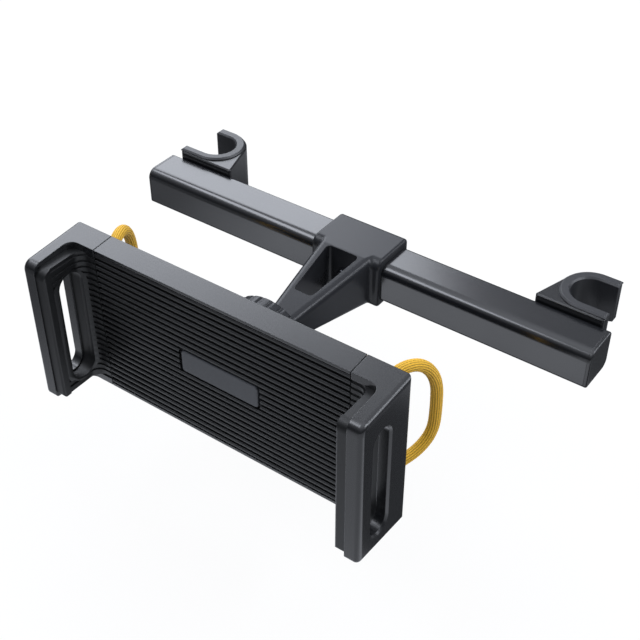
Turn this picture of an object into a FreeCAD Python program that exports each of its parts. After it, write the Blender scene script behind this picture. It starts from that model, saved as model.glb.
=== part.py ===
"""Tablet holder that hangs between the two posts of a car seat's headrest.

Frame: origin midway between the two post axes, at mid height of the crossbar.
X runs along the crossbar, +Y points to the headrest, +Z is up. All sizes are in millimetres.
"""
import FreeCAD, Part
import os
from math import asin, atan2, cos, hypot, pi, radians, sin, tan

V = FreeCAD.Vector
X_AXIS = V(1, 0, 0)
Y_AXIS = V(0, 1, 0)
Z_AXIS = V(0, 0, 1)

# Crossbar: a rounded rectangular tube with one long slot for each hook in its back wall
BAR_DEPTH = 15.0
BAR_HEIGHT = 14.3
BAR_WALL = 1.2
BAR_FRONT_TOP_CORNER = 3.7
BAR_BACK_LOW_CORNER = 3.2
BAR_EDGE = 1.0
INNER_CORNER = 0.3
CAP_THICKNESS = 1.3
CAP_EDGE = 0.7
CAP_PLUG_LENGTH = 4.6
CAP_PLUG_WALL = 1.4
CAP_FIT = 0.1

# Headrest posts and the two hooks that spring outwards between them
POST_SPACING = 161.0
HOOK_TRAVEL = 26.0
HOOK_BORE_R = 7.2
HOOK_LINER_WALL = 1.3
HOOK_WALL = 3.0
HOOK_NEAR_REACH = 9.6
HOOK_FAR_REACH = 6.2
HOOK_HEIGHT = 19.2
HOOK_TIP_RISE = 6.2
HOOK_GUSSET = 15.5
HOOK_SLANT_INSET = 7.0
HOOK_EDGE = 0.5
HOOK_TIP_CORNER = 1.6
HOOK_GUSSET_CORNER = 0.8
HOOK_TO_BAR = 0.3
LINER_BAND_RISE = 0.9
LINER_BAND_INSET = 0.5
LINER_LIP = 0.7
NECK_WIDTH = 10.0
NECK_HEIGHT = 6.4
SLOT_CLEARANCE = 0.2
CARRIER_LENGTH = 15.0
CARRIER_FIT = 0.15
CARRIER_PAST_POST = 6.0
CARRIER_END_GAP = 1.2
CARRIER_SEAT_DEPTH = 2.5
SPIGOT_LENGTH = 3.0
SPIGOT_FIT = 0.3
HOOK_SPRING_R = 3.9
HOOK_SPRING_WIRE = 1.0
HOOK_SPRING_TURNS = 9
COIL_SECTION_COUNT = 12
COIL_SIDES = 6
CORE_LENGTH = 16.0

# Centre bracket: a sleeve round the crossbar with a tapered, windowed arm
SLEEVE_WIDTH = 28.6
SLEEVE_TOP_WALL = 2.6
SLEEVE_FRONT_WALL = 1.65
SLEEVE_BACK_WALL = 2.2
SLEEVE_FIT = 0.05
SLEEVE_RIM = 1.1
SLEEVE_FRONT_CORNER = 3.6
SLEEVE_OTHER_CORNER = 1.5
ARM_ROOT_WIDTH = 21.6
ARM_TIP_WIDTH = 11.0
ARM_TIP_HEIGHT = 9.8
ARM_EDGE = 2.6
ARM_ROOT_FILLET = 1.5
WINDOW_BACK_WALL = 2.2
WINDOW_LENGTH = 24.1
WINDOW_BACK_WIDTH = 13.2
WINDOW_FRONT_WIDTH = 7.4
WINDOW_CORNER = 1.6
BALL_REACH = 51.8
ARM_TO_NUT = 6.0

# Ball joint
BALL_R = 8.5
NECK_R = 2.8
SHANK_R = 2.6
SHANK_FIT = 0.05
BALL_GAP = 0.3
SEAT_THICKNESS = 1.5
SEAT_RIM = 2.3
SOCKET_WALL = 2.0
SOCKET_PAST_BALL = 1.5
SOCKET_FLANGE_R = 20.0
SOCKET_FLANGE_THICKNESS = 2.4
SOCKET_PLUG_R = 11.0
SOCKET_SCREW_CIRCLE_R = 17.5
SOCKET_SLITS = 4
SLIT_WIDTH = 1.2
SLIT_DEPTH = 4.0
SOCKET_EDGE = 0.8
SOCKET_RIM_EDGE = 0.4
THREAD_GAP = 0.15
NUT_R = 15.5
NUT_FRONT_GAP = 1.6
NUT_REAR = 7.5
NUT_LIP = 3.0
NUT_OPENING_DEG = 50.0
NUT_EDGE = 0.9
NUT_FLUTES = 24
FLUTE_R = 1.15
FLUTE_DEPTH = 0.55

# Holder: the housing with its ribbed pad, and the two jaws that pull out of its ends
BALL_TO_HOLDER = 10.5
HOLDER_HEIGHT = 59.14
HOLDER_DRAFT_DEG = 3.89
HOUSING_LENGTH = 100.0
HOUSING_DEPTH = 8.6
SEAM_GAP = 0.3
COVER_THICKNESS = 1.6
COVER_FIT = 0.15
COVER_MARGIN = 1.8
COVER_LEDGE = 1.0
COVER_CORNER = 1.0
CAVITY_DEPTH = 3.6
END_WALL = 1.5
FRONT_PLATE = 1.4
PAD_RIM = 1.0
PAD_BASE = 1.0
PAD_FIT = 0.1
RIB_PITCH = 2.33
RIB_WIDTH = 1.25
RIB_SINK = 0.5
BADGE_LENGTH = 31.0
BADGE_HEIGHT = 8.6
BADGE_CORNER = 1.3
BADGE_THICKNESS = 1.4
BADGE_EDGE = 0.25
BADGE_RECESS_MARGIN = 0.9
JAW_LENGTH = 15.5
JAW_DEPTH = 25.4
JAW_WALL = 5.3
JAW_NOSE_CORNER = 3.5
JAW_HEEL_CORNER = 1.2
JAW_EDGE = 1.8
JAW_INNER_CORNER = 3.4
JAW_LINER_MARGIN = 3.17
JAW_LINER_INSET = 1.2
JAW_LINER_WALL = 3.9
JAW_LINER_NOSE = 25.0
LINER_FROM_TIP = 2.0
JAW_LINER_EDGE = 0.8
LINER_LAND = 3.0
LINER_GROOVE = 0.45
RIB_BELOW_LAND = 0.001
WINDOW_SLOT_DEPTH = 14.8
WINDOW_SLOT_WIDTH = 8.6
WINDOW_SLOT_ABOVE = 6.5
WINDOW_SLOT_BELOW = 3.5
WINDOW_SLOT_BEVEL = 0.7
LINER_SLOT_MARGIN = 0.6
RAIL_THICKNESS = 2.8
RAIL_WIDTH = 6.4
RAIL_LENGTH = 85.0
RAIL_SEAT = 11.0
RAIL_PITCH = 8.4
RAIL_FIRST = 0.8
RAIL_CLEARANCE = 0.2
LUG_FROM_CENTRE = 4.0
LUG_LENGTH = 4.0
LUG_RIM = 0.6
LUG_GAP = 0.5
JAW_SPRING_Z = 20.0
JAW_SPRING_R = 1.5
JAW_SPRING_WIRE = 0.5
JAW_SPRING_HOOK = 3.0
JAW_SPRING_GAP = 0.3
POST_R = 1.0
POST_FROM_END = 3.4

# Cord loops behind the jaws: each hole's place, and the route of the right loop
CORD_DIAMETER = 4.0
CORD_HOLE_FIT = 0.1
CORD_HOLE_FROM_SEAM = 4.5
CORD_HOLE_DEPTH = 4.0
CORD_HOLE_Z = 19.5
CORD_ROUTE = [
    (54.5, -4.0, 19.5),
    (54.5, 3.2, 19.5),
    (57.2, 9.5, 22.2),
    (60.2, 15.8, 19.6),
    (62.3, 20.0, 11.5),
    (62.5, 20.4, 0.0),
    (62.3, 20.0, -9.5),
    (60.2, 15.6, -15.5),
    (57.0, 9.0, -18.0),
    (54.5, 3.0, -19.5),
    (54.5, -4.0, -19.5),
]

# Fasteners
SCREW_R = 1.45
SCREW_HEAD_R = 2.3
SCREW_HEAD = 1.6
STUD_HEAD_R = 2.9
BRACKET_HEAD_R = 1.9
STUD_SCREW_LENGTH = 7.5
STUD_RECESS = 2.0
STUD_RECESS_R = 3.3
SMALL_SCREW_R = 1.0
SMALL_HEAD_R = 1.9
SCREW_FIT = 0.05
SCREW_TIP_GAP = 0.5
HOOK_SCREW_PAST_MID = 1.5
COVER_SCREW_FROM_END = 6.2
COVER_SCREW_FROM_EDGE = 3.0
COVER_SCREW_LENGTH = 4.8
BOSS_WALL = 1.5

# How far a cutting shape runs past the faces that it opens
OVERCUT = 1.0

# Places that follow from the sizes above
BAR_BACK = -(HOOK_BORE_R + HOOK_LINER_WALL + HOOK_WALL)
BAR_MID = BAR_BACK - BAR_DEPTH / 2
BAR_FRONT = BAR_BACK - BAR_DEPTH
HOOK_X = POST_SPACING / 2
BAR_HALF = HOOK_X + CARRIER_PAST_POST + CARRIER_END_GAP + CAP_PLUG_LENGTH
HOOK_OUTER_R = HOOK_BORE_R + HOOK_LINER_WALL + HOOK_WALL
SLEEVE_FRONT = BAR_FRONT - SLEEVE_FRONT_WALL
SLEEVE_BACK = BAR_BACK + SLEEVE_BACK_WALL
SLEEVE_HALF_HEIGHT = BAR_HEIGHT / 2 + SLEEVE_TOP_WALL
BALL_Y = BAR_FRONT - BALL_REACH
HOLDER_BACK = BALL_Y - BALL_TO_HOLDER
HALF_HEIGHT = HOLDER_HEIGHT / 2
HOLDER_SLOPE = tan(radians(HOLDER_DRAFT_DEG))
COVER_HALF_LENGTH = HOUSING_LENGTH / 2 - COVER_MARGIN
COVER_HALF_HEIGHT = HALF_HEIGHT - COVER_MARGIN
CAVITY_HALF_HEIGHT = COVER_HALF_HEIGHT - COVER_LEDGE
LINER_HALF_HEIGHT = HALF_HEIGHT - JAW_LINER_MARGIN
WINDOW_SLOT_LENGTH = 2 * LINER_HALF_HEIGHT - WINDOW_SLOT_ABOVE - WINDOW_SLOT_BELOW
WINDOW_SLOT_DROP = (WINDOW_SLOT_ABOVE - WINDOW_SLOT_BELOW) / 2
SEAM_X = HOUSING_LENGTH / 2
SEAT_R = BALL_R + BALL_GAP + SEAT_THICKNESS
CAVITY_R = SEAT_R + BALL_GAP
SOCKET_R = CAVITY_R + SOCKET_WALL
NUT_REAR_Y = BALL_Y + NUT_REAR
ARM_TIP = NUT_REAR_Y + ARM_TO_NUT
WINDOW_BACK = BAR_FRONT - WINDOW_BACK_WALL
WINDOW_FRONT = WINDOW_BACK - WINDOW_LENGTH
SHANK_END = WINDOW_FRONT - STUD_RECESS + SHANK_FIT
RAIL_BACK = COVER_THICKNESS + (CAVITY_DEPTH - RAIL_THICKNESS) / 2
JAW_INNER_X = SEAM_X + JAW_LENGTH - JAW_WALL


def depth(value):
    """The Y of a point that lies this far in front of the holder's back face."""
    return HOLDER_BACK - value


def on_xy(u, v):
    return V(u, v, 0)


def on_yz(u, v):
    return V(0, u, v)


def on_xz(u, v):
    return V(u, 0, v)


def rounded_wire(corners, place):
    """A closed wire through corners (u, v, radius), each corner rounded by its radius."""
    count = len(corners)
    arcs = []
    for i, (u, v, radius) in enumerate(corners):
        here = V(u, v, 0)
        back = V(*corners[i - 1][:2], 0) - here
        ahead = V(*corners[(i + 1) % count][:2], 0) - here
        back.normalize()
        ahead.normalize()
        half = back.getAngle(ahead) / 2
        cut = radius / tan(half)
        inward = back + ahead
        if radius:
            inward.normalize()
        middle = here + inward * (radius / sin(half) - radius)
        arcs.append((here + back * cut, middle, here + ahead * cut, radius))
    edges = []
    for i, (start, middle, end, radius) in enumerate(arcs):
        placed = [place(p.x, p.y) for p in (start, middle, end)]
        if radius:
            edges.append(Part.Arc(*placed).toShape())
        following = arcs[(i + 1) % count][0]
        if (following - end).Length > 1e-6:
            line = Part.LineSegment(placed[2], place(following.x, following.y))
            edges.append(line.toShape())
    return Part.Wire(edges)


def prism(corners, place, start, height, direction):
    """The rounded outline, moved to start along the direction and pulled out by height."""
    face = Part.Face(rounded_wire(corners, place))
    face.translate(direction * start)
    return face.extrude(direction * height)


def box(x0, x1, y0, y1, z0, z1):
    return Part.makeBox(x1 - x0, y1 - y0, z1 - z0, V(x0, y0, z0))


def rectangle(half_u, half_v, radius, mid_u=0.0, mid_v=0.0):
    """The corners of an upright rectangle about a middle point."""
    return [
        (mid_u - half_u, mid_v - half_v, radius),
        (mid_u + half_u, mid_v - half_v, radius),
        (mid_u + half_u, mid_v + half_v, radius),
        (mid_u - half_u, mid_v + half_v, radius),
    ]


def rod_y(radius, y0, y1, x=0.0, z=0.0):
    return Part.makeCylinder(radius, y1 - y0, V(x, y0, z), Y_AXIS)


def turned(corners):
    """A solid turned about the Y axis from corners (radius, y, rounding)."""
    return Part.Face(rounded_wire(corners, on_xy)).revolve(V(0, 0, 0), Y_AXIS, 360)


def ball(radius):
    return Part.makeSphere(radius, V(0, BALL_Y, 0))


def edges_where(shape, test):
    """The edges whose every end and middle point pass the test."""
    found = []
    for edge in shape.Edges:
        low, high = edge.ParameterRange
        points = [edge.valueAt(low + (high - low) * share) for share in (0, 0.5, 1)]
        if all(test(p) for p in points):
            found.append(edge)
    return found


def mirrored(shape):
    return shape.mirror(V(0, 0, 0), X_AXIS)


def half_turn(shape):
    """The shape turned half round the Y axis, which swaps left for right and top for bottom."""
    turned_shape = shape.copy()
    turned_shape.rotate(V(0, 0, 0), Y_AXIS, 180)
    return turned_shape


def bar_outline(shrink):
    """The crossbar's section, this much smaller all round; its front top edge is the roundest."""
    front = BAR_FRONT + shrink
    back = BAR_BACK - shrink
    top = BAR_HEIGHT / 2 - shrink
    edge = max(BAR_EDGE - shrink, INNER_CORNER)
    return [
        (front, -top, edge),
        (back, -top, BAR_BACK_LOW_CORNER - shrink),
        (back, top, edge),
        (front, top, BAR_FRONT_TOP_CORNER - shrink),
    ]


def pan_screw(seat, tip, head_side, head_r=SCREW_HEAD_R):
    """A pan-head screw along Y: seat is under its head, head_side is +1 or -1."""
    low, high = sorted((seat, tip))
    shank = rod_y(SCREW_R, low, high)
    head_low = min(seat, seat + head_side * SCREW_HEAD)
    head = rod_y(head_r, head_low, head_low + SCREW_HEAD)
    rim = seat + head_side * SCREW_HEAD
    round_edges = edges_where(head, lambda p: abs(p.y - rim) < 1e-6)
    head = head.makeFillet(SCREW_HEAD * 0.4, round_edges)
    socket = rod_y(head_r * 0.4, rim - SCREW_HEAD / 2, rim + SCREW_HEAD / 2)
    return shank.fuse(head).cut(socket).removeSplitter()


def countersunk(x, z, face, tip, grow=0.0):
    """A small countersunk screw whose flat head is level with the face and faces +Y."""
    head = SMALL_HEAD_R - SMALL_SCREW_R
    corners = [
        (0, tip - grow, 0),
        (SMALL_SCREW_R + grow, tip - grow, 0),
        (SMALL_SCREW_R + grow, face - head, 0),
        (SMALL_HEAD_R + grow, face, 0),
        (0, face, 0),
    ]
    screw = turned(corners)
    screw.translate(V(x, 0, z))
    return screw


def make_crossbar():
    length = 2 * BAR_HALF
    tube = prism(bar_outline(0), on_yz, -BAR_HALF, length, X_AXIS)
    start = -BAR_HALF - OVERCUT
    hollow = prism(bar_outline(BAR_WALL), on_yz, start, length + 2 * OVERCUT, X_AXIS)
    tube = tube.cut(hollow)
    outer = HOOK_X + NECK_WIDTH / 2 + SLOT_CLEARANCE
    inner = HOOK_X - HOOK_TRAVEL - NECK_WIDTH / 2 - SLOT_CLEARANCE
    reach = NECK_HEIGHT / 2 + SLOT_CLEARANCE
    floor = BAR_BACK - BAR_WALL
    slot = box(inner, outer, floor - OVERCUT, BAR_BACK + OVERCUT, -reach, reach)
    hole = rod_y(SCREW_R + SCREW_FIT, BAR_FRONT - OVERCUT, BAR_FRONT + BAR_WALL + OVERCUT)
    return tube.cut([slot, mirrored(slot), hole])


def make_end_cap():
    plate = prism(bar_outline(0), on_yz, BAR_HALF, CAP_THICKNESS, X_AXIS)
    rim = edges_where(plate, lambda p: p.x > BAR_HALF + CAP_THICKNESS - 1e-6)
    plate = plate.makeFillet(CAP_EDGE, rim)
    shrink = BAR_WALL + CAP_FIT
    start = BAR_HALF - CAP_PLUG_LENGTH
    plug = prism(bar_outline(shrink), on_yz, start, CAP_PLUG_LENGTH, X_AXIS)
    inside = bar_outline(shrink + CAP_PLUG_WALL)
    hollow = prism(inside, on_yz, start, CAP_PLUG_LENGTH - CAP_PLUG_WALL, X_AXIS)
    return plate.fuse(plug.cut(hollow)).removeSplitter()


def make_bar_core():
    """The block in the middle of the tube that both springs push on and the screw holds."""
    outline = bar_outline(BAR_WALL + CARRIER_FIT)
    core = prism(outline, on_yz, -CORE_LENGTH / 2, CORE_LENGTH, X_AXIS)
    return core.cut(rod_y(SCREW_R + SCREW_FIT, BAR_FRONT, BAR_MID + SCREW_TIP_GAP))


def hook_slant(z_low, z_high):
    """The space under the right hook's rising lower edge."""
    start = HOOK_X - HOOK_GUSSET + HOOK_SLANT_INSET
    tip = HOOK_X + HOOK_NEAR_REACH
    past = tip + HOOK_OUTER_R
    corners = [
        (start, z_low, 0),
        (tip, z_low + HOOK_TIP_RISE, 0),
        (past, z_low + HOOK_TIP_RISE, 0),
        (past, z_high, 0),
        (start, z_high, 0),
    ]
    return prism(corners, on_xz, -2 * HOOK_OUTER_R, 4 * HOOK_OUTER_R, Y_AXIS)


def hook_reach():
    """The plan that the right hook ends in: its arm at the crossbar is the longer one."""
    out = 2 * HOOK_OUTER_R
    near = HOOK_X + HOOK_NEAR_REACH
    far = HOOK_X + HOOK_FAR_REACH
    corners = [(0, -out, 0), (near, -out, 0), (near, 0, 0), (far, 0, 0), (far, out, 0), (0, out, 0)]
    return prism(corners, on_xy, -HOOK_HEIGHT, 2 * HOOK_HEIGHT, Z_AXIS)


def hook_channel(radius):
    """The plan of the post's channel: half a circle that runs straight on past the tips."""
    tip = HOOK_X + HOOK_NEAR_REACH + radius
    return [
        (tip, -radius, 0),
        (HOOK_X - radius, -radius, radius),
        (HOOK_X - radius, radius, radius),
        (tip, radius, 0),
    ]


def make_hook():
    """The right hook: a C open to the outside, stiffened by a gusset along the crossbar."""
    top = HOOK_HEIGHT / 2
    near = BAR_BACK + HOOK_TO_BAR
    near_tip = HOOK_X + HOOK_NEAR_REACH
    far_tip = HOOK_X + HOOK_FAR_REACH
    reach = hypot(HOOK_GUSSET, near)
    slope = atan2(-near, HOOK_GUSSET) + asin(HOOK_OUTER_R / reach)
    shoulder = HOOK_X - HOOK_GUSSET + (HOOK_OUTER_R - near) / tan(slope)
    outline = [
        (near_tip, near, HOOK_TIP_CORNER),
        (near_tip, 0, 0),
        (far_tip, 0, 0),
        (far_tip, HOOK_OUTER_R, HOOK_TIP_CORNER),
        (shoulder, HOOK_OUTER_R, HOOK_OUTER_R),
        (HOOK_X - HOOK_GUSSET, near, HOOK_GUSSET_CORNER),
    ]
    body = prism(outline, on_xy, -top, HOOK_HEIGHT, Z_AXIS)
    rim = edges_where(body, lambda p: p.z > top - 1e-6)
    body = body.makeChamfer(HOOK_EDGE, rim)
    channel_r = HOOK_BORE_R + HOOK_LINER_WALL
    tall = HOOK_HEIGHT + 2 * OVERCUT
    channel = prism(hook_channel(channel_r), on_xy, -top - OVERCUT, tall, Z_AXIS)
    body = body.cut([channel, hook_slant(-top, -HOOK_HEIGHT)])
    inside = BAR_BACK - BAR_WALL - CARRIER_FIT - CARRIER_SEAT_DEPTH
    neck = box(
        HOOK_X - NECK_WIDTH / 2,
        HOOK_X + NECK_WIDTH / 2,
        inside,
        near + HOOK_WALL / 2,
        -NECK_HEIGHT / 2,
        NECK_HEIGHT / 2,
    )
    body = body.fuse(neck)
    screw_seat = -channel_r - SCREW_HEAD / 2
    hole = rod_y(SCREW_R + SCREW_FIT, inside - OVERCUT, -channel_r, HOOK_X)
    head = rod_y(SCREW_HEAD_R + SCREW_FIT, screw_seat, 0, HOOK_X)
    return body.cut([hole, head]).removeSplitter()


def make_hook_liner():
    """The soft C that lines the channel, with a raised band on top of the hook."""
    top = HOOK_HEIGHT / 2
    channel_r = HOOK_BORE_R + HOOK_LINER_WALL
    wall = prism(hook_channel(channel_r), on_xy, -top, HOOK_HEIGHT, Z_AXIS)
    band_r = HOOK_OUTER_R - LINER_BAND_INSET
    near = BAR_BACK + HOOK_TO_BAR + LINER_BAND_INSET
    tip = HOOK_X + HOOK_NEAR_REACH
    band_outline = [
        (tip, near, 0),
        (tip, band_r, 0),
        (HOOK_X - band_r, band_r, band_r),
        (HOOK_X - band_r, near, -near),
    ]
    band = prism(band_outline, on_xy, top, LINER_BAND_RISE, Z_AXIS)
    liner = wall.fuse(band).common(hook_reach())
    tall = HOOK_HEIGHT + LINER_BAND_RISE + 2 * OVERCUT
    bore = prism(hook_channel(HOOK_BORE_R), on_xy, -top - OVERCUT, tall, Z_AXIS)
    liner = liner.cut([bore, hook_slant(-top, -HOOK_HEIGHT)]).removeSplitter()
    lip = edges_where(liner, lambda p: p.z > top + LINER_BAND_RISE - 1e-6)
    liner = liner.makeChamfer(min(LINER_LIP, LINER_BAND_RISE * 0.7), lip)
    hole = rod_y(SCREW_HEAD_R / 2, -channel_r - OVERCUT, -HOOK_BORE_R + OVERCUT, HOOK_X)
    return liner.cut(hole)


def make_hook_carrier():
    """The slide block inside the tube that the hook is screwed to."""
    outline = bar_outline(BAR_WALL + CARRIER_FIT)
    start = HOOK_X + CARRIER_PAST_POST - CARRIER_LENGTH
    block = prism(outline, on_yz, start, CARRIER_LENGTH, X_AXIS)
    back = BAR_BACK - BAR_WALL - CARRIER_FIT
    seat = box(
        HOOK_X - NECK_WIDTH / 2,
        HOOK_X + NECK_WIDTH / 2,
        back - CARRIER_SEAT_DEPTH,
        back + OVERCUT,
        -NECK_HEIGHT / 2,
        NECK_HEIGHT / 2,
    )
    hole_end = BAR_MID - HOOK_SCREW_PAST_MID - SCREW_TIP_GAP
    hole = rod_y(SCREW_R + SCREW_FIT, hole_end, back, HOOK_X)
    spigot_r = HOOK_SPRING_R - HOOK_SPRING_WIRE - SPIGOT_FIT
    tip = V(start - SPIGOT_LENGTH, BAR_MID, 0)
    spigot = Part.makeCylinder(spigot_r, SPIGOT_LENGTH, tip, X_AXIS)
    return block.cut([seat, hole]).fuse(spigot).removeSplitter()


def make_hook_screw():
    seat = -HOOK_BORE_R - HOOK_LINER_WALL - SCREW_HEAD / 2
    screw = pan_screw(seat, BAR_MID - HOOK_SCREW_PAST_MID, 1)
    clear = -HOOK_BORE_R - HOOK_LINER_WALL
    screw = screw.cut(rod_y(SCREW_HEAD_R + OVERCUT, clear, clear + SCREW_HEAD))
    screw.translate(V(HOOK_X, 0, 0))
    return screw


def coil(wire_r, radius, length, turns):
    """A coil along X, lofted through flat-sided sections of its wire."""
    count = turns * COIL_SECTION_COUNT
    sections = []
    for i in range(count + 1):
        angle = 2 * pi * turns * i / count
        outward = V(0, cos(angle), sin(angle))
        ahead = V(length / (2 * pi * turns), -radius * sin(angle), radius * cos(angle))
        across = ahead.cross(outward)
        across.normalize()
        centre = V(length * i / count, 0, 0) + outward * radius
        turn = [2 * pi * side / COIL_SIDES for side in range(COIL_SIDES + 1)]
        corners = [centre + outward * (wire_r * cos(t)) + across * (wire_r * sin(t)) for t in turn]
        sections.append(Part.makePolygon(corners))
    return Part.makeLoft(sections, True, True)


def make_hook_spring():
    """The compression spring between the middle block and the right carrier."""
    wire_r = HOOK_SPRING_WIRE / 2
    start = CORE_LENGTH / 2 + wire_r
    end = HOOK_X + CARRIER_PAST_POST - CARRIER_LENGTH - wire_r
    spring = coil(wire_r, HOOK_SPRING_R - wire_r, end - start, HOOK_SPRING_TURNS)
    spring.translate(V(start, BAR_MID, 0))
    return spring


def make_centre_bracket():
    """The sleeve and the tapered arm, moulded as one piece with a window through the arm."""
    half = SLEEVE_WIDTH / 2
    outline = [
        (SLEEVE_FRONT, -SLEEVE_HALF_HEIGHT, SLEEVE_OTHER_CORNER),
        (SLEEVE_BACK, -SLEEVE_HALF_HEIGHT, SLEEVE_OTHER_CORNER),
        (SLEEVE_BACK, SLEEVE_HALF_HEIGHT, SLEEVE_OTHER_CORNER),
        (SLEEVE_FRONT, SLEEVE_HALF_HEIGHT, SLEEVE_FRONT_CORNER),
    ]
    sleeve = prism(outline, on_yz, -half, SLEEVE_WIDTH, X_AXIS)
    rims = edges_where(sleeve, lambda p: abs(abs(p.x) - half) < 1e-6)
    sleeve = sleeve.makeFillet(SLEEVE_RIM, rims)
    arm = arm_loft()
    bracket = sleeve.fuse(arm).removeSplitter()
    inside = half - SLEEVE_RIM
    roots = edges_where(bracket, lambda p: abs(p.y - SLEEVE_FRONT) < 1e-4 and abs(p.x) < inside)
    bracket = bracket.makeFillet(ARM_ROOT_FILLET, roots)
    wide = SLEEVE_WIDTH + 2 * OVERCUT
    bar_space = prism(bar_outline(-SLEEVE_FIT), on_yz, -half - OVERCUT, wide, X_AXIS)
    window = [
        (-WINDOW_BACK_WIDTH / 2, WINDOW_BACK, WINDOW_CORNER),
        (WINDOW_BACK_WIDTH / 2, WINDOW_BACK, WINDOW_CORNER),
        (WINDOW_FRONT_WIDTH / 2, WINDOW_FRONT, WINDOW_CORNER),
        (-WINDOW_FRONT_WIDTH / 2, WINDOW_FRONT, WINDOW_CORNER),
    ]
    low = -SLEEVE_HALF_HEIGHT - OVERCUT
    opening = prism(window, on_xy, low, -2 * low, Z_AXIS)
    screw_hole = rod_y(SCREW_R + SCREW_FIT, WINDOW_BACK - OVERCUT, BAR_FRONT + OVERCUT)
    stud_hole = rod_y(SHANK_R + SHANK_FIT, ARM_TIP - OVERCUT, WINDOW_FRONT + OVERCUT)
    recess = rod_y(STUD_RECESS_R, WINDOW_FRONT - STUD_RECESS, WINDOW_FRONT + OVERCUT)
    return bracket.cut([bar_space, opening, screw_hole, stud_hole, recess])


def arm_loft():
    """The arm, from deep in the sleeve's front wall to its tip behind the lock nut."""
    root = BAR_MID
    span = SLEEVE_FRONT - ARM_TIP
    past = (root - SLEEVE_FRONT) / span
    wires = []
    for y, share in ((ARM_TIP, 0.0), (root, 1 + past)):
        half_width = (ARM_TIP_WIDTH + (ARM_ROOT_WIDTH - ARM_TIP_WIDTH) * share) / 2
        rise = SLEEVE_HALF_HEIGHT - ARM_TIP_HEIGHT / 2
        half_height = ARM_TIP_HEIGHT / 2 + rise * share
        wire = rounded_wire(rectangle(half_width, half_height, ARM_EDGE), on_xz)
        wire.translate(V(0, y, 0))
        wires.append(wire)
    loft = Part.makeLoft(wires, True, True)
    reach = SLEEVE_HALF_HEIGHT
    keep = box(-SLEEVE_WIDTH, SLEEVE_WIDTH, ARM_TIP, BAR_MID, -reach, reach)
    return loft.common(keep)


def make_bracket_screw():
    return pan_screw(WINDOW_BACK, BAR_MID, -1, BRACKET_HEAD_R)


def make_ball_stud():
    """The ball, its neck and the shank that turns in the arm's tip."""
    neck_end = ARM_TIP - SHANK_FIT
    neck = rod_y(NECK_R, BALL_Y, neck_end)
    shank = rod_y(SHANK_R, neck_end, SHANK_END)
    stud = ball(BALL_R).fuse([neck, shank]).removeSplitter()
    hole_end = SHANK_END - STUD_SCREW_LENGTH - SCREW_TIP_GAP
    return stud.cut(rod_y(SCREW_R + SCREW_FIT, hole_end, SHANK_END))


def make_stud_screw():
    seat = SHANK_END
    return pan_screw(seat, seat - STUD_SCREW_LENGTH, 1, STUD_HEAD_R)


def make_ball_seat():
    """The thin cup between the ball and the socket."""
    cup = ball(SEAT_R).cut(ball(BALL_R + BALL_GAP))
    reach = SEAT_R + OVERCUT
    keep = box(-reach, reach, BALL_Y - reach, BALL_Y - SEAT_RIM, -reach, reach)
    return cup.common(keep)


def make_ball_socket():
    """The threaded socket and its flange, with slits that let its rim close on the ball."""
    corners = [
        (0, depth(COVER_THICKNESS), 0),
        (SOCKET_PLUG_R, depth(COVER_THICKNESS), 0),
        (SOCKET_PLUG_R, depth(0), 0),
        (SOCKET_FLANGE_R, depth(0), 0),
        (SOCKET_FLANGE_R, depth(-SOCKET_FLANGE_THICKNESS), SOCKET_EDGE),
        (SOCKET_R, depth(-SOCKET_FLANGE_THICKNESS), SOCKET_EDGE),
        (SOCKET_R, BALL_Y + SOCKET_PAST_BALL, SOCKET_RIM_EDGE),
        (0, BALL_Y + SOCKET_PAST_BALL, 0),
    ]
    socket = turned(corners).cut(ball(CAVITY_R))
    cuts = []
    for i in range(SOCKET_SLITS):
        angle = 360.0 * i / SOCKET_SLITS
        half = SLIT_WIDTH / 2
        top = BALL_Y + SOCKET_PAST_BALL + OVERCUT
        inner = CAVITY_R - SOCKET_WALL
        slit = box(inner, SOCKET_R + OVERCUT, BALL_Y - SLIT_DEPTH, top, -half, half)
        slit.rotate(V(0, 0, 0), Y_AXIS, angle)
        cuts.append(slit)
    for x, z in socket_screw_places():
        cuts.append(countersunk(x, z, depth(-SOCKET_FLANGE_THICKNESS), depth(0), SCREW_FIT))
    return socket.cut(cuts)


def socket_screw_places():
    offset = SOCKET_SCREW_CIRCLE_R * cos(radians(45))
    return [(sx * offset, sz * offset) for sx in (-1, 1) for sz in (-1, 1)]


def make_socket_screws():
    tip = depth(COVER_THICKNESS)
    face = depth(-SOCKET_FLANGE_THICKNESS)
    return Part.makeCompound([countersunk(x, z, face, tip) for x, z in socket_screw_places()])


def make_lock_nut():
    """The fluted ring that screws onto the socket and closes its rim on the ball."""
    front = depth(-SOCKET_FLANGE_THICKNESS - NUT_FRONT_GAP)
    opening = radians(NUT_OPENING_DEG)
    corners = [
        (0, front, 0),
        (NUT_R, front, NUT_EDGE),
        (NUT_R, NUT_REAR_Y, NUT_EDGE),
        (0, NUT_REAR_Y, 0),
    ]
    nut = turned(corners)
    thread = rod_y(SOCKET_R + THREAD_GAP, front - OVERCUT, BALL_Y + NUT_LIP)
    reach = NUT_REAR + OVERCUT
    cone = Part.makeCone(0, reach * tan(opening), reach, V(0, BALL_Y, 0), Y_AXIS)
    cuts = [thread, ball(BALL_R + BALL_GAP), cone]
    for i in range(NUT_FLUTES):
        angle = radians(360.0 * (i + 0.5) / NUT_FLUTES)
        out = NUT_R + FLUTE_R - FLUTE_DEPTH
        x = out * cos(angle)
        z = out * sin(angle)
        cuts.append(rod_y(FLUTE_R, front - OVERCUT, NUT_REAR_Y + OVERCUT, x, z))
    return nut.cut(cuts)


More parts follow.
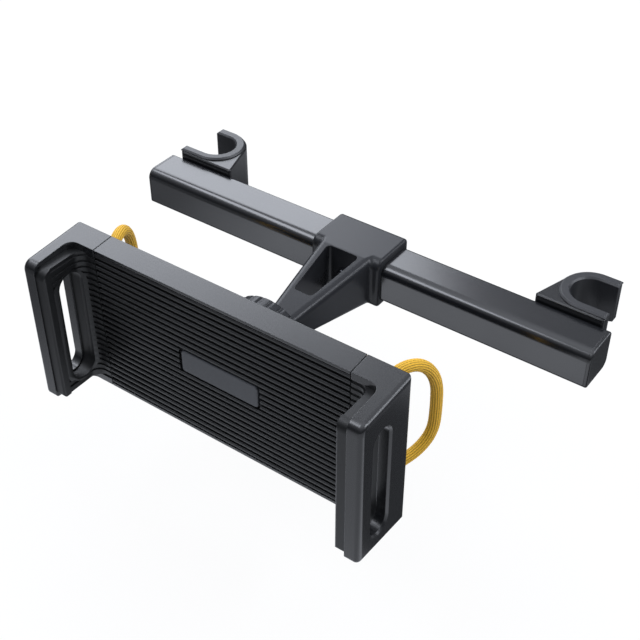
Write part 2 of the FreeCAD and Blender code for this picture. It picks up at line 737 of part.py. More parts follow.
def holder_profile(front, nose, heel):
    """The holder's side outline, which narrows towards the tips of its jaws."""
    front_half = HALF_HEIGHT - HOLDER_SLOPE * front
    return [
        (depth(0), HALF_HEIGHT, 0),
        (depth(front), front_half, nose),
        (depth(front), -front_half, heel),
        (depth(0), -HALF_HEIGHT, 0),
    ]


def rail_bands():
    """The lower and upper Z of the right jaw's two rails."""
    return [
        (RAIL_FIRST + RAIL_PITCH, RAIL_FIRST + RAIL_PITCH + RAIL_WIDTH),
        (-RAIL_FIRST - RAIL_WIDTH, -RAIL_FIRST),
    ]


def make_housing():
    """The moulded front shell, with ribs that guide the rails and a recess for the pad."""
    half = SEAM_X - SEAM_GAP / 2
    outline = holder_profile(HOUSING_DEPTH, 0, 0)
    shell = prism(outline, on_yz, -half, 2 * half, X_AXIS)
    recess = pad_half_height()
    cover_x = COVER_HALF_LENGTH + COVER_FIT
    cover_z = COVER_HALF_HEIGHT + COVER_FIT
    cavity_x = half - END_WALL
    cavity_z = CAVITY_HALF_HEIGHT
    floor = COVER_THICKNESS + CAVITY_DEPTH
    front = depth(floor + FRONT_PLATE)
    past = half + OVERCUT
    cuts = [
        box(-past, past, depth(HOUSING_DEPTH + OVERCUT), front, -recess, recess),
        box(-cover_x, cover_x, depth(COVER_THICKNESS), depth(-OVERCUT), -cover_z, cover_z),
        box(-cavity_x, cavity_x, depth(floor), depth(0), -cavity_z, cavity_z),
    ]
    shell = shell.cut(cuts)
    shell = shell.fuse(guide_ribs(cavity_x, floor) + cover_bosses(floor)).removeSplitter()
    slots = []
    gap = RAIL_CLEARANCE
    for low, high in rail_bands():
        back = depth(RAIL_BACK - gap)
        front_y = depth(RAIL_BACK + RAIL_THICKNESS + gap)
        slot = box(cavity_x - OVERCUT, past, front_y, back, low - gap, high + gap)
        slots += [slot, half_turn(slot)]
    for x, z in cover_screw_places():
        tip = depth(COVER_SCREW_LENGTH + SCREW_FIT)
        slots.append(countersunk(x, z, depth(0), tip, SCREW_FIT))
    return shell.cut(slots)


def guide_ribs(cavity_x, floor):
    """The ribs between the rail bands, and the two pins that hold the jaw springs."""
    gap = RAIL_CLEARANCE
    top = RAIL_FIRST + RAIL_PITCH + RAIL_WIDTH + gap
    between = (RAIL_FIRST + RAIL_WIDTH + gap, RAIL_FIRST + RAIL_PITCH - gap)
    back = depth(COVER_THICKNESS)
    front = depth(floor + RIB_SINK)
    middle = box(-cavity_x, cavity_x, front, back, -RAIL_FIRST + gap, RAIL_FIRST - gap)
    upper = box(-cavity_x, cavity_x, front, back, between[0], between[1])
    stop = LUG_FROM_CENTRE - LUG_LENGTH / 2 - LUG_GAP
    outer = box(-cavity_x, stop, front, back, top, top + END_WALL)
    pin_x = -SEAM_X + SEAM_GAP + END_WALL + POST_FROM_END
    pin = rod_y(POST_R, front, back, pin_x, JAW_SPRING_Z)
    ribs = [middle]
    for piece in (upper, outer, pin):
        ribs += [piece, half_turn(piece)]
    return ribs


def cover_screw_places():
    x = COVER_HALF_LENGTH - COVER_SCREW_FROM_END
    z = COVER_HALF_HEIGHT - COVER_SCREW_FROM_EDGE
    return [(sx * x, sz * z) for sx in (-1, 1) for sz in (-1, 1)]


def cover_bosses(floor):
    radius = SMALL_SCREW_R + BOSS_WALL
    front = depth(floor + RIB_SINK)
    return [rod_y(radius, front, depth(COVER_THICKNESS), x, z) for x, z in cover_screw_places()]


def make_back_cover():
    outline = rectangle(COVER_HALF_LENGTH, COVER_HALF_HEIGHT, COVER_CORNER)
    cover = prism(outline, on_xz, depth(COVER_THICKNESS), COVER_THICKNESS, Y_AXIS)
    low = depth(COVER_THICKNESS + OVERCUT)
    high = depth(-OVERCUT)
    cuts = [rod_y(SOCKET_PLUG_R + COVER_FIT, low, high)]
    for x, z in cover_screw_places():
        cuts.append(countersunk(x, z, depth(0), low, SCREW_FIT))
    for x, z in socket_screw_places():
        cuts.append(rod_y(SMALL_SCREW_R + SCREW_FIT, low, high, x, z))
    return cover.cut(cuts)


def make_cover_screws():
    tip = depth(COVER_SCREW_LENGTH)
    screws = [countersunk(x, z, depth(0), tip) for x, z in cover_screw_places()]
    return Part.makeCompound(screws)


def pad_half_height():
    return HALF_HEIGHT - HOLDER_SLOPE * HOUSING_DEPTH - PAD_RIM


def rib_places():
    """The heights of the ribs, counted up from the lowest."""
    room = 2 * (pad_half_height() - PAD_FIT) - RIB_WIDTH
    steps = int(room / RIB_PITCH)
    return [RIB_PITCH * (i - steps / 2) for i in range(steps + 1)]


def make_ribbed_pad():
    """The soft bed, with round-topped ribs along X and a recess for the badge plate."""
    base = COVER_THICKNESS + CAVITY_DEPTH + FRONT_PLATE
    skin = base + PAD_BASE
    half = pad_half_height() - PAD_FIT
    rib_half = RIB_WIDTH / 2
    crest = HOUSING_DEPTH
    corners = [(depth(base), half, 0), (depth(base), -half, 0), (depth(skin), -half, 0)]
    for z in rib_places():
        corners += [
            (depth(skin), z - rib_half, 0),
            (depth(crest), z - rib_half, rib_half * 0.6),
            (depth(crest), z + rib_half, rib_half * 0.6),
            (depth(skin), z + rib_half, 0),
        ]
    corners.append((depth(skin), half, 0))
    length = HOUSING_LENGTH - SEAM_GAP
    pad = prism(corners, on_yz, -length / 2, length, X_AXIS)
    margin = BADGE_RECESS_MARGIN
    outline = rectangle(BADGE_LENGTH / 2 + margin, BADGE_HEIGHT / 2 + margin, BADGE_CORNER + margin)
    front = depth(HOUSING_DEPTH + OVERCUT)
    recess = prism(outline, on_xz, front, OVERCUT + BADGE_THICKNESS, Y_AXIS)
    return pad.cut(recess)


def make_badge_plate():
    """A blank plate that lies level with the tops of the ribs."""
    outline = rectangle(BADGE_LENGTH / 2, BADGE_HEIGHT / 2, BADGE_CORNER)
    front = depth(HOUSING_DEPTH)
    plate = prism(outline, on_xz, front, BADGE_THICKNESS, Y_AXIS)
    rim = edges_where(plate, lambda p: p.y < front + 1e-6)
    return plate.makeChamfer(BADGE_EDGE, rim)


def stadium(width, length, start, height):
    """The jaw's window slot, upright, pulled out along X."""
    middle = depth(WINDOW_SLOT_DEPTH)
    outline = rectangle(width / 2, length / 2, width / 2, middle, -WINDOW_SLOT_DROP)
    return prism(outline, on_yz, start, height, X_AXIS)


def make_jaw(bands):
    """The right jaw: a moulded L with a window slot, rounded nose and a pocket for its liner."""
    seam = SEAM_X + SEAM_GAP / 2
    outer = SEAM_X + JAW_LENGTH
    profile = holder_profile(JAW_DEPTH, JAW_NOSE_CORNER, JAW_HEEL_CORNER)
    jaw = prism(profile, on_yz, seam, outer - seam, X_AXIS)
    jaw = jaw.makeFillet(JAW_EDGE, edges_where(jaw, lambda p: p.x > outer - 1e-6))
    open_x = seam - OVERCUT
    open_y = depth(JAW_DEPTH + OVERCUT)
    bay = [
        (open_x, depth(HOUSING_DEPTH), 0),
        (JAW_INNER_X, depth(HOUSING_DEPTH), JAW_INNER_CORNER),
        (JAW_INNER_X, open_y, 0),
        (open_x, open_y, 0),
    ]
    pocket_x = JAW_INNER_X + JAW_LINER_INSET
    pocket_y = depth(HOUSING_DEPTH - JAW_LINER_INSET)
    pocket_end = depth(JAW_DEPTH - LINER_FROM_TIP)
    pocket = [
        (open_x, pocket_y, 0),
        (pocket_x, pocket_y, JAW_INNER_CORNER),
        (pocket_x, pocket_end, 0),
        (open_x, pocket_end, 0),
    ]
    cuts = [prism(bay, on_xy, -HALF_HEIGHT - OVERCUT, HOLDER_HEIGHT + 2 * OVERCUT, Z_AXIS)]
    cuts.append(prism(pocket, on_xy, -LINER_HALF_HEIGHT, 2 * LINER_HALF_HEIGHT, Z_AXIS))
    cuts.append(stadium(WINDOW_SLOT_WIDTH, WINDOW_SLOT_LENGTH, seam, 2 * JAW_LENGTH))
    for low, high in bands:
        back = depth(RAIL_BACK)
        front = depth(RAIL_BACK + RAIL_THICKNESS)
        cuts.append(box(open_x, seam + RAIL_SEAT, front, back, low, high))
    for z in (-CORD_HOLE_Z, CORD_HOLE_Z):
        radius = CORD_DIAMETER / 2 + CORD_HOLE_FIT
        x = SEAM_X + CORD_HOLE_FROM_SEAM
        cuts.append(rod_y(radius, depth(CORD_HOLE_DEPTH), depth(-OVERCUT), x, z))
    for x, z in rail_screw_places(bands):
        tip = depth(RAIL_BACK + RAIL_THICKNESS)
        cuts.append(countersunk(x, z, depth(0), tip, SCREW_FIT))
    jaw = jaw.cut(cuts)
    bevel = edges_where(jaw, lambda p: on_slot_rim(p, outer))
    return jaw.makeChamfer(WINDOW_SLOT_BEVEL, bevel)


def on_slot_rim(p, outer):
    in_width = abs(p.y - depth(WINDOW_SLOT_DEPTH)) < WINDOW_SLOT_WIDTH / 2 + 0.01
    in_length = abs(p.z + WINDOW_SLOT_DROP) < WINDOW_SLOT_LENGTH / 2 + 0.01
    return p.x > outer - 1e-4 and in_width and in_length


def liner_outline(groove):
    """The plan of the right jaw's liner, with its face this much lower than the rib tops."""
    seam = SEAM_X + SEAM_GAP / 2
    pocket_x = JAW_INNER_X + JAW_LINER_INSET
    pocket_y = depth(HOUSING_DEPTH - JAW_LINER_INSET)
    pocket_end = depth(JAW_DEPTH - LINER_FROM_TIP)
    face_x = JAW_INNER_X - JAW_LINER_WALL
    return [
        (seam, pocket_y, 0),
        (pocket_x, pocket_y, JAW_INNER_CORNER),
        (pocket_x, pocket_end, 0),
        (JAW_INNER_X, pocket_end, 0),
        (JAW_INNER_X, depth(JAW_LINER_NOSE), 0),
        (face_x, depth(JAW_LINER_NOSE), JAW_LINER_EDGE),
        (face_x, depth(JAW_LINER_NOSE - LINER_LAND), 0),
        (face_x + groove, depth(JAW_LINER_NOSE - LINER_LAND - groove), 0),
        (face_x + groove, depth(HOUSING_DEPTH - groove), JAW_INNER_CORNER + groove),
        (seam, depth(HOUSING_DEPTH - groove), 0),
    ]


def make_jaw_liner():
    """The soft lining of the right jaw, whose ribs carry on those of the pad."""
    seam = SEAM_X + SEAM_GAP / 2
    half = LINER_HALF_HEIGHT
    liner = prism(liner_outline(LINER_GROOVE), on_xy, -half, 2 * half, Z_AXIS)
    ribs = []
    for z in rib_places():
        if abs(z) + RIB_WIDTH / 2 < half:
            outline = liner_outline(RIB_BELOW_LAND)
            ribs.append(prism(outline, on_xy, z - RIB_WIDTH / 2, RIB_WIDTH, Z_AXIS))
    liner = liner.fuse(ribs).removeSplitter()
    side = [
        (depth(0), half, 0),
        (depth(JAW_LINER_NOSE), half, JAW_NOSE_CORNER),
        (depth(JAW_LINER_NOSE), -half, JAW_HEEL_CORNER),
        (depth(0), -half, 0),
    ]
    liner = liner.common(prism(side, on_yz, seam, JAW_LENGTH, X_AXIS))
    wide = WINDOW_SLOT_WIDTH + 2 * LINER_SLOT_MARGIN
    long = WINDOW_SLOT_LENGTH + 2 * LINER_SLOT_MARGIN
    slot = stadium(wide, long, seam, JAW_LENGTH)
    return liner.cut(slot).removeSplitter()


def rail_screw_places(bands):
    x = SEAM_X + SEAM_GAP / 2 + RAIL_SEAT * 0.6
    return [(x, (low + high) / 2) for low, high in bands]


def make_jaw_rails():
    """The right jaw's two flat rails; the upper one has a lug for its spring."""
    start = SEAM_X + SEAM_GAP / 2 + RAIL_SEAT - RAIL_LENGTH - RAIL_SEAT
    end = SEAM_X + SEAM_GAP / 2 + RAIL_SEAT
    back = depth(RAIL_BACK)
    front = depth(RAIL_BACK + RAIL_THICKNESS)
    rails = []
    for low, high in rail_bands():
        rails.append(box(start, end, front, back, low, high))
    lug_x = LUG_FROM_CENTRE
    half = LUG_LENGTH / 2
    lug_top = JAW_SPRING_Z + POST_R + LUG_RIM
    lug = box(lug_x - half, lug_x + half, front, back, rail_bands()[0][0], lug_top)
    lug = lug.cut(rod_y(POST_R, front - OVERCUT, back + OVERCUT, lug_x, JAW_SPRING_Z))
    rails[0] = rails[0].fuse(lug).removeSplitter()
    tip = front - OVERCUT
    places = rail_screw_places(rail_bands())
    holes = [countersunk(x, z, depth(0), tip, SCREW_FIT) for x, z in places]
    return Part.makeCompound([rail.cut(holes) for rail in rails])


def make_rail_screws():
    tip = depth(RAIL_BACK + RAIL_THICKNESS)
    places = rail_screw_places(rail_bands())
    return Part.makeCompound([countersunk(x, z, depth(0), tip) for x, z in places])


def make_jaw_spring():
    """The close-wound tension spring from the housing's left pin to the right jaw's lug."""
    pin_x = -SEAM_X + SEAM_GAP + END_WALL + POST_FROM_END
    y = depth(RAIL_BACK + RAIL_THICKNESS / 2)
    start = pin_x + JAW_SPRING_HOOK
    length = LUG_FROM_CENTRE - LUG_LENGTH / 2 - JAW_SPRING_GAP - start
    wire_r = JAW_SPRING_WIRE / 2
    ring_r = POST_R + wire_r + SCREW_FIT
    body_end = V(start, y, JAW_SPRING_Z)
    body = Part.makeCylinder(JAW_SPRING_R, length, body_end, X_AXIS)
    bore = Part.makeCylinder(JAW_SPRING_R - JAW_SPRING_WIRE, length, body_end, X_AXIS)
    ring = Part.makeTorus(ring_r, wire_r, V(pin_x, y, JAW_SPRING_Z), Y_AXIS)
    tail_start = V(pin_x + ring_r, y, JAW_SPRING_Z)
    tail = Part.makeCylinder(wire_r, start - pin_x - POST_R, tail_start, X_AXIS)
    plug = Part.makeCylinder(JAW_SPRING_R - wire_r, JAW_SPRING_WIRE, body_end, X_AXIS)
    return body.cut(bore).fuse([ring, tail, plug]).removeSplitter()


def cord_path(points):
    """Straight runs joined by arcs, each as large as its two runs allow."""
    share = 0.45
    edges = []
    here = points[0]
    for i in range(1, len(points) - 1):
        back = points[i - 1] - points[i]
        ahead = points[i + 1] - points[i]
        cut = share * min(back.Length, ahead.Length)
        back.normalize()
        ahead.normalize()
        half = back.getAngle(ahead) / 2
        radius = cut * tan(half)
        inward = back + ahead
        inward.normalize()
        start = points[i] + back * cut
        end = points[i] + ahead * cut
        middle = points[i] + inward * (radius / sin(half) - radius)
        print(f"cord bend {i}: radius {radius:.1f} mm")
        edges.append(Part.LineSegment(here, start).toShape())
        edges.append(Part.Arc(start, middle, end).toShape())
        here = end
    edges.append(Part.LineSegment(here, points[-1]).toShape())
    return Part.Wire(edges)


def make_cord_loop():
    """The right cord loop, from the floor of one hole round to the floor of the other."""
    points = [V(x, HOLDER_BACK + y, z) for x, y, z in CORD_ROUTE]
    path = cord_path(points)
    circle = Part.makeCircle(CORD_DIAMETER / 2, points[0], points[1] - points[0])
    return path.makePipeShell([Part.Wire(circle)], True, True)


def paired(name, shape):
    """The right piece and its mirror image."""
    return {f"{name}_right": shape, f"{name}_left": mirrored(shape)}


def turned_pair(name, shape):
    """The right piece and the same piece turned half round the holder's middle axis."""
    return {f"{name}_right": shape, f"{name}_left": half_turn(shape)}


def build():
    nodes = {
        "crossbar": make_crossbar(),
        "bar_core": make_bar_core(),
        "centre_bracket": make_centre_bracket(),
        "bracket_screw": make_bracket_screw(),
        "ball_stud": make_ball_stud(),
        "stud_screw": make_stud_screw(),
        "ball_seat": make_ball_seat(),
        "ball_socket": make_ball_socket(),
        "socket_screws": make_socket_screws(),
        "lock_nut": make_lock_nut(),
        "holder_housing": make_housing(),
        "back_cover": make_back_cover(),
        "cover_screws": make_cover_screws(),
        "ribbed_pad": make_ribbed_pad(),
        "badge_plate": make_badge_plate(),
    }
    nodes.update(paired("end_cap", make_end_cap()))
    nodes.update(paired("hook", make_hook()))
    nodes.update(paired("hook_liner", make_hook_liner()))
    nodes.update(paired("hook_carrier", make_hook_carrier()))
    nodes.update(paired("hook_screw", make_hook_screw()))
    nodes.update(paired("hook_spring", make_hook_spring()))
    nodes.update(paired("cord_loop", make_cord_loop()))
    nodes["jaw_right"] = make_jaw(rail_bands())
    nodes["jaw_left"] = mirrored(make_jaw([(-high, -low) for low, high in rail_bands()]))
    nodes.update(paired("jaw_liner", make_jaw_liner()))
    nodes.update(turned_pair("jaw_rails", make_jaw_rails()))
    nodes.update(turned_pair("rail_screws", make_rail_screws()))
    nodes.update(turned_pair("jaw_spring", make_jaw_spring()))
    return nodes


os.makedirs("parts", exist_ok=True)
for node, shape in build().items():
    shape.exportStep(f"parts/{node}.step")
    print(f"{node}: valid {shape.isValid()}, {len(shape.Solids)} solids, {shape.Volume:.0f} mm3")
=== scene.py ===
"""Finishes and fine detail of a tablet mount that hangs between the posts of a car's headrest."""
import math

import bpy
from bpy.props import FloatProperty, FloatVectorProperty, IntProperty, PointerProperty
from bpy.types import Operator, Panel, PropertyGroup
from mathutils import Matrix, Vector


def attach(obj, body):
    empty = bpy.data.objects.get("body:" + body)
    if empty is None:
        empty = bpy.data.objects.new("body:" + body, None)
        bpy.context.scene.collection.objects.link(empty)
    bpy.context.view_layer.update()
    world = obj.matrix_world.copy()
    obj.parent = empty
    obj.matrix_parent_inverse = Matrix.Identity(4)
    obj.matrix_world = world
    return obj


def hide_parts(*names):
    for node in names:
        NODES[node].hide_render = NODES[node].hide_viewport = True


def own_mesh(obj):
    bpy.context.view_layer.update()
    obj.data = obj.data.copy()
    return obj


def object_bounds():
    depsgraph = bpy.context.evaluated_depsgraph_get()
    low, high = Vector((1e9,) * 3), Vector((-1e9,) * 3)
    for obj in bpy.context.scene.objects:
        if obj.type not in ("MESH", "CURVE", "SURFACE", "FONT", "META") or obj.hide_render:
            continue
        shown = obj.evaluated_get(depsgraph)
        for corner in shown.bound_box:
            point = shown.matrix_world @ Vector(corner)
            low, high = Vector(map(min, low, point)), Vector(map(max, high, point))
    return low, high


bl_info = {
    "name": "Headrest tablet mount",
    "version": (1, 0, 0),
    "blender": (4, 5, 0),
    "location": "3D View > Sidebar > Tablet mount",
    "description": "Dresses the packed model of a headrest tablet mount",
    "category": "Object",
}

MM = 0.001
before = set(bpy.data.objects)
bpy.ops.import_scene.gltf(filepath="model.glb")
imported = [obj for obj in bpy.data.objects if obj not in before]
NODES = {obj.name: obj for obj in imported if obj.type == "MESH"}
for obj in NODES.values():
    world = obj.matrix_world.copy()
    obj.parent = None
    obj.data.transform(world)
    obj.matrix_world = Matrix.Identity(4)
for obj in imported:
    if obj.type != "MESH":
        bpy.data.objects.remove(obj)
CAD_BOX = [list(corner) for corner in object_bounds()]

# The right cord loop's route: x and z of each point, and its y from the holder's back face
HOLDER_BACK_MM = -88.8
CORD_ROUTE_MM = [
    (54.5, -4.0, 19.5),
    (54.5, 3.2, 19.5),
    (57.2, 9.5, 22.2),
    (60.2, 15.8, 19.6),
    (62.3, 20.0, 11.5),
    (62.5, 20.4, 0.0),
    (62.3, 20.0, -9.5),
    (60.2, 15.6, -15.5),
    (57.0, 9.0, -18.0),
    (54.5, 3.0, -19.5),
    (54.5, -4.0, -19.5),
]
CORD_STEPS_PER_RUN = 36
# The cord's cover: a stitch's length, the relief's depth and the mesh points across each row
STITCH_MM = 1.1
COVER_RELIEF_MM = 0.2
POINTS_PER_ROW = 6
# How full a row and a stitch look in section (1 is a half wave), and the stitch's share of it
ROW_FULLNESS = 0.7
STITCH_FULLNESS = 0.8
STITCH_SHARE = 0.28

# The right liner's slot rim: its opening's width and length, its middle's y and z, its width,
# how much wider it is towards the nose, and x of its outer and inner end
RIM_SLOT_MM = (9.7, 43.9)
RIM_MIDDLE_MM = (-103.6, -1.5)
RIM_WIDTH_MM = 1.0
RIM_NOSE_MM = 1.35
RIM_OUT_MM = 53.5
RIM_IN_MM = 57.2
RIM_EDGE_MM = 0.15
RIM_POINTS = 64
RIM_SMOOTH_DEG = 35
# The room between the liners' ribs, on the right, and the radius of its upright corner
BAY_MM = ((30.0, -130.0, -35.0), (56.3, -97.4, 35.0))
BAY_CORNER_MM = 3.4
BAY_CORNER_STEPS = 16
# Slack when vertices are found by their place
HAIR_MM = 0.001

# Every finish: the size of its clouding, how much the clouds change the roughness, the values
# between which a noise mostly runs, and the strength of the grain's relief
CLOUD_MM = 24.0
ROUGHNESS_SPREAD = 0.02
NOISE_RANGE = {"From Min": 0.3, "From Max": 0.7}
TONE_RANGE = (0.35, 0.65)
GRAIN_STRENGTH = 0.6

# Light panels: name, azimuth from +Y towards -X and elevation in degrees, size in metres, radiance
PANEL_DISTANCE = 1.5
COOL_LIGHT = (0.94, 0.98, 1.07)
PANELS = [
    ("back_left_panel", 55, 30, (1.25, 0.9), 3.3),
    ("top_left_panel", 119, 56, (1.1, 0.35), 4.5),
    ("back_right_panel", -46, 26, (0.8, 0.4), 4.0),
    ("right_strip", -75, 42, (0.8, 0.25), 9.0),
]
# The room's light at the horizon and overhead, and the power with which it rises between them
ROOM_LOW = 0.05
ROOM_HIGH = 1.3
ROOM_RISE = 2.5

FLOOR_SIZE = 8.0
# The floor paper's tone in the object's light and to the camera, and the camera's share of white
PAPER_TONE = 0.58
PAPER_TONE_SEEN = 0.95
PAPER_WHITE_SHARE = 0.9
# Painted reflection: the paper glows only to glossy rays, at a level set by place, and the
# object's glossy faces mirror that glow: y in metres, level
PAINTED_REFLECTION_LEVELS = [
    (-0.15, 0.5), (-0.11, 0.95), (-0.094, 0.95), (-0.079, 0.075), (-0.01, 0.075),
    (0.008, 0.36), (0.032, 0.36), (0.046, 0.08), (0.1, 0.08), (0.13, 0.3),
]
PAINTED_REFLECTION_REACH = 0.2
# That painted glow is multiplied by a level that rises between two places in x, in metres
PAINTED_REFLECTION_SIDE_X = (-0.155, -0.09)
PAINTED_REFLECTION_SIDE_LEVEL = (0.46, 1.35)

CAMERA_PLACE = (0.18793, -0.30374, 0.24984)
CAMERA_SIGHT = (-0.45305, 0.62928, -0.63147)
CAMERA_LENS_MM = 66.4
CAMERA_SENSOR_MM = 36.0


def srgb(colour):
    """The linear colour of an sRGB hex value."""
    parts = [int(colour[i:i + 2], 16) / 255 for i in (1, 3, 5)]
    return tuple(c / 12.92 if c <= 0.04045 else ((c + 0.055) / 1.055) ** 2.4 for c in parts)


def rgba(colour, share=1.0):
    """The colour, made darker or lighter by the share, as a socket takes it."""
    return (*(c * share for c in colour), 1.0)


def per_mm(size_mm):
    """The scale that gives a pattern this size, because a texture repeats once in a metre."""
    return 1 / (size_mm * MM)


def add_node(tree, kind, inputs=None, stops=(), **values):
    """Adds a shader node with its settings and, on a ramp, the place and colour of its stops.
    Each input is given a value or linked to a socket."""
    node = tree.nodes.new("ShaderNode" + kind)
    for key, value in values.items():
        setattr(node, key, value)
    for key, value in (inputs or {}).items():
        if isinstance(value, bpy.types.NodeSocket):
            tree.links.new(value, node.inputs[key])
        else:
            node.inputs[key].default_value = value
    if stops:
        ramp = node.color_ramp.elements
        # The ramp keeps its stops in order, so all are placed before any is coloured
        ramp[0].position, ramp[1].position = stops[0][0], stops[-1][0]
        for place, colour in stops[1:-1]:
            ramp.new(place)
        for stop, (place, colour) in zip(ramp, stops):
            stop.color = colour
    return node


def new_material(name):
    """An empty node material and its tree."""
    material = bpy.data.materials.new(name)
    material.use_nodes = True
    material.node_tree.nodes.clear()
    return material, material.node_tree


def grained(name, colour, grain_mm, relief_mm, roughness, edge_mm=0.25, spread=0.12, extra=None):
    """A finish with an even grain, faint clouding of its tone, and edges that catch the light.
    The extra values go to the shader's own sockets."""
    material, tree = new_material(name)
    place = add_node(tree, "TexCoord").outputs["Object"]
    # A mould's or a coat's grain is about 0.1 mm, and is drawn coarser here so that it shows
    grain = add_node(tree, "TexNoise", {"Vector": place, "Scale": per_mm(grain_mm), "Detail": 2.0})
    cloud = add_node(tree, "TexNoise", {"Vector": place, "Scale": per_mm(CLOUD_MM), "Detail": 3.0})
    shades = (rgba(colour, 1 - spread), rgba(colour, 1 + spread))
    tone = add_node(
        tree, "ValToRGB", {"Fac": cloud.outputs["Fac"]}, stops=list(zip(TONE_RANGE, shades))
    )
    rough = add_node(tree, "MapRange", {
        "Value": cloud.outputs["Fac"],
        "To Min": roughness - ROUGHNESS_SPREAD,
        "To Max": roughness + ROUGHNESS_SPREAD,
        **NOISE_RANGE,
    })
    round_edge = add_node(tree, "Bevel", {"Radius": edge_mm * MM}, samples=4)
    bump = add_node(tree, "Bump", {
        "Height": grain.outputs["Fac"],
        "Distance": relief_mm * MM,
        "Strength": GRAIN_STRENGTH,
        "Normal": round_edge.outputs["Normal"],
    })
    surface = add_node(tree, "BsdfPrincipled", {
        "Base Color": tone.outputs["Color"],
        "Roughness": rough.outputs["Result"],
        "Normal": bump.outputs["Normal"],
        **(extra or {}),
    })
    add_node(tree, "OutputMaterial", {"Surface": surface.outputs[0]})
    return material


def finish_nodes(material, *names):
    """Gives the CAD nodes this material."""
    for name in names:
        mesh = NODES[name].data
        mesh.materials.clear()
        mesh.materials.append(material)


def both(*names):
    """The names of the left and right node of each kind."""
    return [f"{name}_{side}" for name in names for side in ("left", "right")]


def colour_setting(name, description, colour):
    """A setting for a colour, whose default is given as an sRGB hex value."""
    return FloatVectorProperty(
        name=name, description=description, subtype="COLOR", size=3, min=0, max=1,
        default=srgb(colour),
    )


class MountSettings(PropertyGroup):
    """Colours and sizes that can be changed before the pieces are made."""

    plastic: colour_setting("Plastic", "Colour of the moulded plastic", "#18191b")
    nylon: colour_setting("Nylon", "Colour of the nylon pieces and the hooks' liners", "#27282b")
    rubber: colour_setting("Rubber", "Colour of the ribbed pad and the jaws' liners", "#121314")
    bar: colour_setting("Bar", "Colour of the crossbar", "#18191c")
    badge: colour_setting("Badge", "Colour of the blank badge plate", "#3d3f43")
    steel: colour_setting("Steel", "Colour of the springs and rails", "#8c8e90")
    cord: colour_setting("Cord", "Colour of the cord loops", "#ecb833")
    cord_diameter: FloatProperty(
        name="Cord diameter", description="Thickness of the cord loops", subtype="DISTANCE",
        unit="LENGTH", min=0.003, max=0.006, default=4.0 * MM,
    )
    cord_ribs: IntProperty(
        name="Cord ribs", description="Rows of stitches round the cord", min=8, max=32, default=16,
    )
    floor_drop: FloatProperty(
        name="Floor drop", description="How far the floor lies below the object",
        subtype="DISTANCE", unit="LENGTH", min=0, max=1, default=40 * MM,
    )


def settings():
    """The mount's settings, as the user has left them."""
    return bpy.context.scene.tablet_mount


class PlasticFinish(Operator):
    """Gives the moulded pieces their satin plastic"""

    bl_idname = "tablet_mount.plastic"
    bl_label = "Moulded plastic"

    def execute(self, context):
        # ABS from a spark-eroded mould: nearly black, with a satin sheen that turns grey in light
        shell = grained(
            "abs_spark_eroded", settings().plastic, grain_mm=0.4, relief_mm=0.0015,
            roughness=0.25, edge_mm=0.3, extra={"Specular IOR Level": 0.85},
        )
        finish_nodes(shell, "holder_housing", *both("jaw", "hook", "end_cap"))
        # Glass-filled nylon: greyer and duller, on what bears the load, turns or lies inside
        nylon = grained(
            "nylon_glass_filled", settings().nylon, grain_mm=0.5, relief_mm=0.001,
            roughness=0.29, edge_mm=0.4, extra={"Specular IOR Level": 0.32},
        )
        inner = ["centre_bracket", "back_cover", "ball_socket", "lock_nut", "bar_core"]
        finish_nodes(nylon, *inner, *both("hook_carrier"))
        # Acetal, turned: milky and smooth, on the seat that the ball turns in
        acetal = grained(
            "acetal_turned", srgb("#c9c7bf"), grain_mm=0.8, relief_mm=0.01, roughness=0.35
        )
        finish_nodes(acetal, "ball_seat")
        return {"FINISHED"}


class RubberFinish(Operator):
    """Gives the ribbed pad and the liners their soft rubber"""

    bl_idname = "tablet_mount.rubber"
    bl_label = "Rubber"

    def execute(self, context):
        # Moulded silicone: black and matt
        silicone = grained(
            "silicone_moulded", settings().rubber, grain_mm=0.5, relief_mm=0.003,
            roughness=0.45, edge_mm=0.12,
        )
        finish_nodes(silicone, "ribbed_pad", *both("jaw_liner"))
        # Thermoplastic elastomer: harder and smoother, so it shines a little
        elastomer = grained(
            "elastomer_moulded", settings().nylon, grain_mm=0.5, relief_mm=0.001,
            roughness=0.42, edge_mm=0.3, extra={"Specular IOR Level": 0.75},
        )
        finish_nodes(elastomer, *both("hook_liner"))
        return {"FINISHED"}


class BarFinish(Operator):
    """Gives the crossbar its satin coat"""

    bl_idname = "tablet_mount.bar"
    bl_label = "Crossbar coat"

    def execute(self, context):
        # Satin powder coat on the steel tube: smooth, so that it carries long reflections
        gloss = {"Specular IOR Level": 0.9, "Coat Weight": 0.15, "Coat Roughness": 0.1}
        coat = grained(
            "steel_powder_coated", settings().bar, grain_mm=0.6, relief_mm=0.004,
            roughness=0.19, edge_mm=0.2, spread=0.05, extra=gloss,
        )
        finish_nodes(coat, "crossbar")
        return {"FINISHED"}


class MetalFinish(Operator):
    """Gives the ball stud, screws, springs and rails their metal"""

    bl_idname = "tablet_mount.metal"
    bl_label = "Metal pieces"

    def execute(self, context):
        metal = {"Metallic": 1.0}
        # Black oxide: nearly black steel with an oily sheen
        oxide = grained(
            "steel_black_oxide", srgb("#55565a"), grain_mm=0.4, relief_mm=0.004,
            roughness=0.34, edge_mm=0.1, extra=metal,
        )
        screws = ["bracket_screw", "stud_screw", "socket_screws", "cover_screws", "ball_stud"]
        finish_nodes(oxide, *screws, *both("hook_screw", "rail_screws"))
        # Drawn and rolled steel, left bright: clean and close to a mirror along its length
        bright = grained(
            "steel_drawn_bright", settings().steel, grain_mm=0.2, relief_mm=0.002,
            roughness=0.26, edge_mm=0.05, extra=metal,
        )
        finish_nodes(bright, *both("hook_spring", "jaw_spring", "jaw_rails"))
        return {"FINISHED"}


